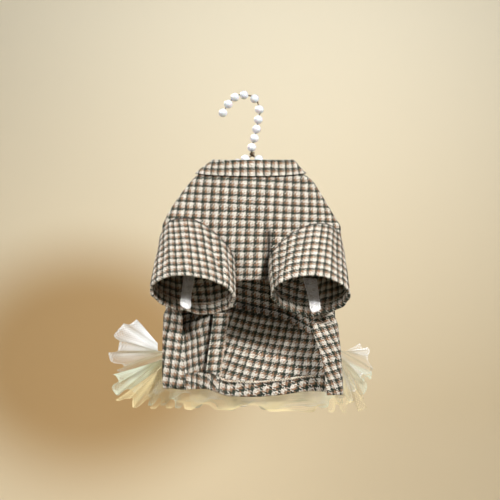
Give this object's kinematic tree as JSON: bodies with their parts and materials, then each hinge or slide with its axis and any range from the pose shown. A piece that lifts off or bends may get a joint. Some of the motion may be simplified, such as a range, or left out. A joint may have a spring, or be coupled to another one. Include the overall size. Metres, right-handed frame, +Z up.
{
  "type": "dog dress on a beaded hanger",
  "caption": "Small dog's dress with short sleeves in a woven check, with gathered net on the skirt's back, hung belly side forward on a beaded wire hanger.",
  "frame": {"origin": "underside of the hook's top bead, where it rests on a rail or peg", "axes": "+Z up, -Y the belly side that faces the viewer, +X the viewer's right"},
  "size_m": [0.284, 0.1309, 0.3514],
  "materials": {
    "wool_check": "wool-like woven check, ivory, brown and dark green",
    "lace_white": "white lace ribbon",
    "tulle_ivory": "soft net, ivory",
    "tulle_mint": "soft net, pale mint",
    "tulle_yellow": "soft net, pale yellow",
    "pearl_white": "glossy white bead",
    "wire_bronze": "dark antique wire"
  },
  "bodies": {
    "root": {"arm_bead_left_1": "pearl_white", "arm_bead_left_2": "pearl_white", "arm_bead_left_3": "pearl_white", "arm_bead_left_4": "pearl_white", "arm_bead_left_5": "pearl_white", "arm_bead_left_6": "pearl_white", "arm_bead_left_7": "pearl_white", "arm_bead_right_1": "pearl_white", "arm_bead_right_2": "pearl_white", "arm_bead_right_3": "pearl_white", "arm_bead_right_4": "pearl_white", "arm_bead_right_5": "pearl_white", "arm_bead_right_6": "pearl_white", "arm_bead_right_7": "pearl_white", "arm_wire": "wire_bronze", "back_bodice": "wool_check", "chest_panel": "wool_check", "collar": "wool_check", "cuff_hem_left": "wool_check", "cuff_hem_right": "wool_check", "hem_left": "wool_check", "hem_right": "wool_check", "hook_bead_01": "pearl_white", "hook_bead_02": "pearl_white", "hook_bead_03": "pearl_white", "hook_bead_04": "pearl_white", "hook_bead_05": "pearl_white", "hook_bead_06": "pearl_white", "hook_bead_07": "pearl_white", "hook_bead_08": "pearl_white", "hook_bead_09": "pearl_white", "hook_bead_10": "pearl_white", "hook_wire": "wire_bronze", "lace_left": "lace_white", "lace_right": "lace_white", "neck_twist": "wire_bronze", "seam_facing": "wool_check", "skirt_left": "wool_check", "skirt_right": "wool_check", "sleeve_left": "wool_check", "sleeve_right": "wool_check", "tulle_ivory": "tulle_ivory", "tulle_mint": "tulle_mint", "tulle_yellow": "tulle_yellow"}
  },
  "joints": []
}
